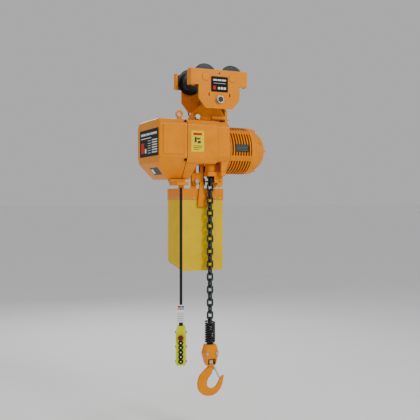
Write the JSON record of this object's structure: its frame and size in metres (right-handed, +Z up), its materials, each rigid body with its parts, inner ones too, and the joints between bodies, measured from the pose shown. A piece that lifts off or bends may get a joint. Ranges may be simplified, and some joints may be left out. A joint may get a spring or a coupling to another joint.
{
  "type": "electric chain hoist",
  "caption": "Electric chain hoist hanging from a powered beam trolley, with load chain, bottom block and latched hook, chain container and push-button pendant.",
  "frame": {"origin": "centre of the beam's running surface between the four trolley wheels", "axes": "+X along the beam towards the hoist motor, +Y across the beam away from the operator's side, +Z up"},
  "size_m": [0.586, 0.32, 1.5441],
  "materials": {
    "orange_paint": "gloss powder coat",
    "dark_steel": "oiled dark steel",
    "zinc_plate": "yellow-green zinc plating",
    "black_screw": "black oxide",
    "label_black": "printed film",
    "drive_grey": "satin dark grey paint",
    "gear_steel": "ground steel",
    "stator_steel": "varnished laminations",
    "black_plastic": "moulded",
    "chain_steel": "blackened, oiled",
    "spring_black": "black lacquer",
    "container_yellow": "satin yellow paint",
    "cable_rubber": "smooth sheath",
    "pendant_yellow": "moulded lime yellow",
    "tag_card": "laminated card",
    "stop_red": "moulded red",
    "button_black": "moulded black"
  },
  "bodies": {
    "trolley": {"trolley_plate_front": "orange_paint", "trolley_plate_rear": "orange_paint", "suspension_shaft": "dark_steel", "shaft_hardware": "zinc_plate", "wheel_axles": "orange_paint", "trolley_nameplate": "label_black", "trolley_gearbox": "drive_grey", "trolley_motor": "drive_grey"},
    "wheel_front_left": {"wheel_front_left": "dark_steel"},
    "wheel_front_right": {"wheel_front_right": "dark_steel"},
    "wheel_rear_left": {"wheel_rear_left": "dark_steel"},
    "wheel_rear_right": {"wheel_rear_right": "dark_steel"},
    "trolley_pinion": {"trolley_pinion": "dark_steel"},
    "hoist": {"suspension_yoke": "orange_paint", "suspension_bolts": "zinc_plate", "centre_housing": "orange_paint", "gearcase_cover": "dark_steel", "control_cover": "orange_paint", "housing_screws": "black_screw", "lifting_eye": "orange_paint", "motor_housing": "orange_paint", "motor_end_cover": "orange_paint", "stator": "stator_steel", "brake_magnet": "stator_steel", "bearings": "gear_steel", "contactors": "black_plastic", "hoist_labels": "label_black", "cable_glands": "orange_paint", "trolley_cable": "cable_rubber", "chain_container": "container_yellow", "container_collar": "orange_paint", "container_bracket": "orange_paint", "wheel_chain": "chain_steel", "slack_chain": "chain_steel", "chain_guide": "orange_paint", "limit_switch": "black_plastic"},
    "rotor": {"rotor": "dark_steel"},
    "countershaft": {"intermediate_gear": "gear_steel"},
    "load_wheel": {"load_wheel": "dark_steel", "load_gear": "gear_steel"},
    "bottom_block": {"load_chain": "chain_steel", "buffer_spring": "spring_black", "hook_block": "orange_paint", "block_bolts": "zinc_plate"},
    "hook": {"load_hook": "orange_paint", "hook_nut": "zinc_plate"},
    "latch": {"safety_latch": "zinc_plate"},
    "limit_lever": {"limit_lever": "black_screw"},
    "pendant": {"pendant_shell_front": "pendant_yellow", "pendant_shell_back": "pendant_yellow", "pendant_screws": "black_screw", "pendant_gland": "cable_rubber", "pendant_cable": "cable_rubber", "cable_tag": "tag_card"},
    "button_stop": {"button_stop": "stop_red"},
    "button_up": {"button_up": "button_black"},
    "button_down": {"button_down": "button_black"},
    "button_left": {"button_left": "button_black"},
    "button_right": {"button_right": "button_black"},
    "button_start": {"button_start": "button_black"}
  },
  "joints": [
    {"name": "hoist_swing", "type": "hinge", "parent": "trolley", "child": "hoist", "pos_m": [0, 0, -0.054], "axis": [0, 1, 0], "range_deg": [-8, 8], "deforming": ["trolley_cable"]},
    {"name": "wheel_front_left_spin", "type": "hinge", "parent": "trolley", "child": "wheel_front_left", "pos_m": [-0.067, 0, 0.048], "axis": [0, 1, 0], "continuous": true},
    {"name": "wheel_front_right_spin", "type": "hinge", "parent": "trolley", "child": "wheel_front_right", "pos_m": [0.067, 0, 0.048], "axis": [0, 1, 0], "continuous": true},
    {"name": "wheel_rear_left_spin", "type": "hinge", "parent": "trolley", "child": "wheel_rear_left", "pos_m": [-0.067, 0, 0.048], "axis": [0, 1, 0], "continuous": true},
    {"name": "wheel_rear_right_spin", "type": "hinge", "parent": "trolley", "child": "wheel_rear_right", "pos_m": [0.067, 0, 0.048], "axis": [0, 1, 0], "continuous": true},
    {"name": "trolley_pinion_spin", "type": "hinge", "parent": "trolley", "child": "trolley_pinion", "pos_m": [0, 0.09, 0.01953], "axis": [0, 1, 0], "continuous": true},
    {"name": "rotor_spin", "type": "hinge", "parent": "hoist", "child": "rotor", "pos_m": [0.1, 0.04617, -0.275], "axis": [-1, 0, 0], "range_deg": [-6075, 10125]},
    {"name": "countershaft_spin", "type": "hinge", "parent": "hoist", "child": "countershaft", "pos_m": [-0.09, 0.10118, -0.23503], "axis": [-1, 0, 0], "range_deg": [-1355, 815]},
    {"name": "load_wheel_spin", "type": "hinge", "parent": "hoist", "child": "load_wheel", "pos_m": [0, 0.04617, -0.275], "axis": [-1, 0, 0], "range_deg": [-110, 182]},
    {"name": "hook_lift", "type": "slide", "parent": "hoist", "child": "bottom_block", "axis": [0, 0, 1], "range_m": [-0.0902, 0.1503], "deforming": ["load_chain", "wheel_chain"]},
    {"name": "hook_swivel", "type": "hinge", "parent": "bottom_block", "child": "hook", "pos_m": [0, 0, -1.3], "axis": [0, 0, 1], "continuous": true},
    {"name": "latch_pivot", "type": "hinge", "parent": "hook", "child": "latch", "pos_m": [0.019, 0, -1.304], "axis": [0, 1, 0], "range_deg": [0, 20], "stiffness_Nm_per_rad": 0.06, "springref_deg": -22.92},
    {"name": "limit_trip", "type": "hinge", "parent": "hoist", "child": "limit_lever", "pos_m": [0.036, 0, -0.427], "axis": [0, 1, 0], "range_deg": [0, 8]},
    {"name": "pendant_swing", "type": "hinge", "parent": "hoist", "child": "pendant", "pos_m": [-0.173, -0.06, -0.457], "axis": [0, 1, 0], "range_deg": [-10, 10]},
    {"name": "button_stop_press", "type": "slide", "parent": "pendant", "child": "button_stop", "axis": [0.4226, 0.9063, 0], "range_m": [0, 0.003], "stiffness_N_per_m": 300, "springref_m": -0.002},
    {"name": "button_up_press", "type": "slide", "parent": "pendant", "child": "button_up", "axis": [0.4226, 0.9063, 0], "range_m": [0, 0.003], "stiffness_N_per_m": 300, "springref_m": -0.002},
    {"name": "button_down_press", "type": "slide", "parent": "pendant", "child": "button_down", "axis": [0.4226, 0.9063, 0], "range_m": [0, 0.003], "stiffness_N_per_m": 300, "springref_m": -0.002},
    {"name": "button_left_press", "type": "slide", "parent": "pendant", "child": "button_left", "axis": [0.4226, 0.9063, 0], "range_m": [0, 0.003], "stiffness_N_per_m": 300, "springref_m": -0.002},
    {"name": "button_right_press", "type": "slide", "parent": "pendant", "child": "button_right", "axis": [0.4226, 0.9063, 0], "range_m": [0, 0.003], "stiffness_N_per_m": 300, "springref_m": -0.002},
    {"name": "button_start_press", "type": "slide", "parent": "pendant", "child": "button_start", "axis": [0.4226, 0.9063, 0], "range_m": [0, 0.003], "stiffness_N_per_m": 300, "springref_m": -0.002}
  ],
  "couplings": [
    {"joint": "wheel_rear_right_spin", "follows": "wheel_rear_left_spin", "ratio": 1},
    {"joint": "trolley_pinion_spin", "follows": "wheel_rear_left_spin", "ratio": -3.3333},
    {"joint": "countershaft_spin", "follows": "rotor_spin", "ratio": -0.13333},
    {"joint": "load_wheel_spin", "follows": "rotor_spin", "ratio": 0.017778},
    {"joint": "hook_lift", "follows": "rotor_spin", "m_per_rad": 0.00084883}
  ]
}
